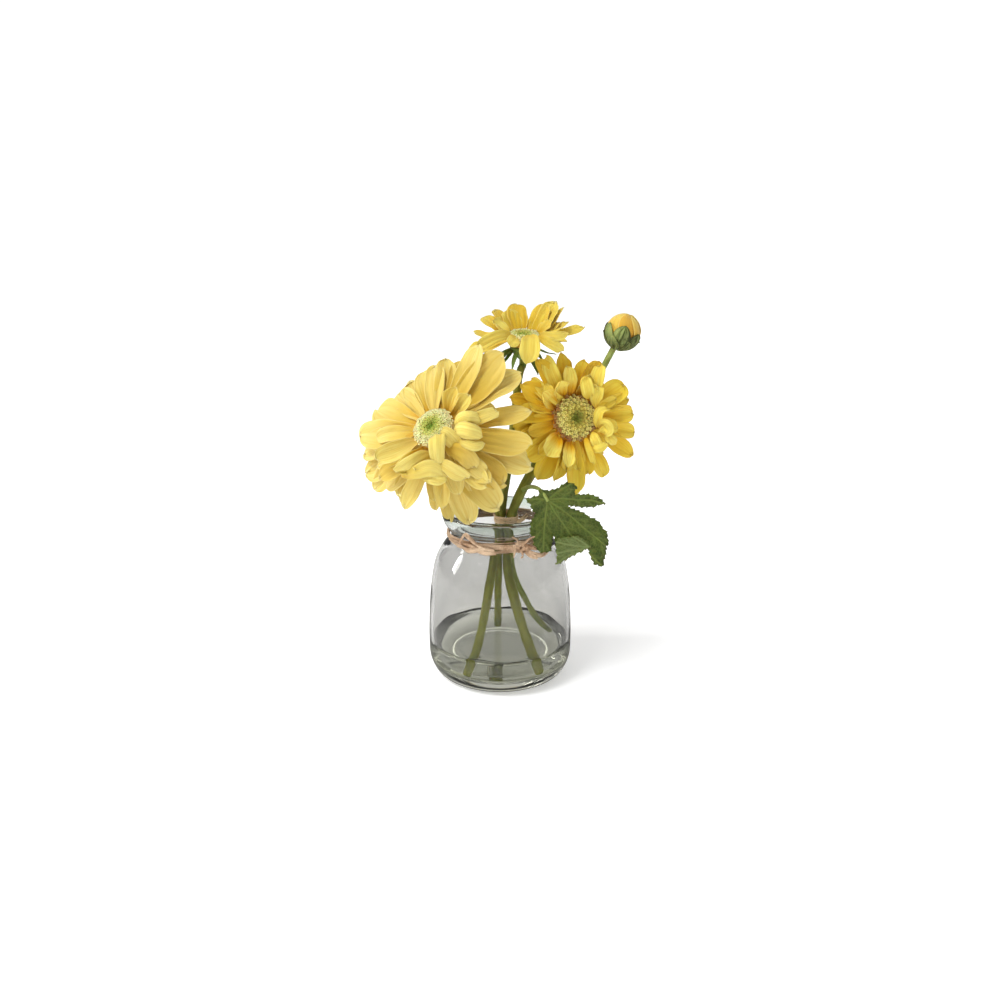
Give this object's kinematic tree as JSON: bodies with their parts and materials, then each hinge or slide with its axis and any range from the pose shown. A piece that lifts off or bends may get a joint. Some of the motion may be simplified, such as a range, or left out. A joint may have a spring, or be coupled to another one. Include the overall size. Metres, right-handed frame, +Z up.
{
  "type": "daisies in a glass vase",
  "caption": "Artificial daisies, a bud and a lobed leaf tied with raffia, standing in water in a round-shouldered clear glass jar with a raffia band round its neck.",
  "frame": {"origin": "middle of the jar's underside", "axes": "+Z up along the jar's axis, -Y towards the front that the two large blooms face, +X towards the bud and the leaf"},
  "size_m": [0.1578, 0.0934, 0.2131],
  "materials": {
    "jar_glass": "clear blown glass, very slightly grey-green, with a thick foot and a rounded lip",
    "water": "clear still water with a meniscus at the glass and at the stems",
    "large_stem": "soft-touch olive green stem with a brownish bloom; calyx and bracts deeper green",
    "leafy_stem": "soft-touch olive green stem; leaf mid green with pale veins and a pale grey-green underside",
    "top_stem": "soft-touch olive green stem with narrow green bracts",
    "bud_stem": "soft-touch light olive stem; sepals pale green on one side, dark green on the other",
    "large_petals": "satin cream-yellow petals, orange towards the root, finely creased lengthwise",
    "large_disc": "cream florets round pale green ones, with a dark green eye",
    "right_petals": "satin golden-yellow petals with darker edges, orange towards the root",
    "right_disc": "cream-gold florets with reddish-brown tips round a dark green eye",
    "top_petals": "satin yellow petals, orange towards the root",
    "top_disc": "cream florets round a pale green eye",
    "bud_petals": "satin yellow to orange petals folded over each other",
    "raffia_tie": "dry raffia strip, light brown, finely fibred lengthwise",
    "raffia_band": "dry raffia strip, light pinkish brown, finely fibred lengthwise"
  },
  "bodies": {
    "root": {"jar": "jar_glass", "water": "water", "large_stem": "large_stem", "right_stem": "leafy_stem", "top_stem": "top_stem", "bud_stem": "bud_stem", "large_petals": "large_petals", "large_disc": "large_disc", "right_petals": "right_petals", "right_disc": "right_disc", "top_petals": "top_petals", "top_disc": "top_disc", "bud_petals": "bud_petals", "raffia_tie": "raffia_tie", "raffia_band": "raffia_band"}
  },
  "joints": []
}
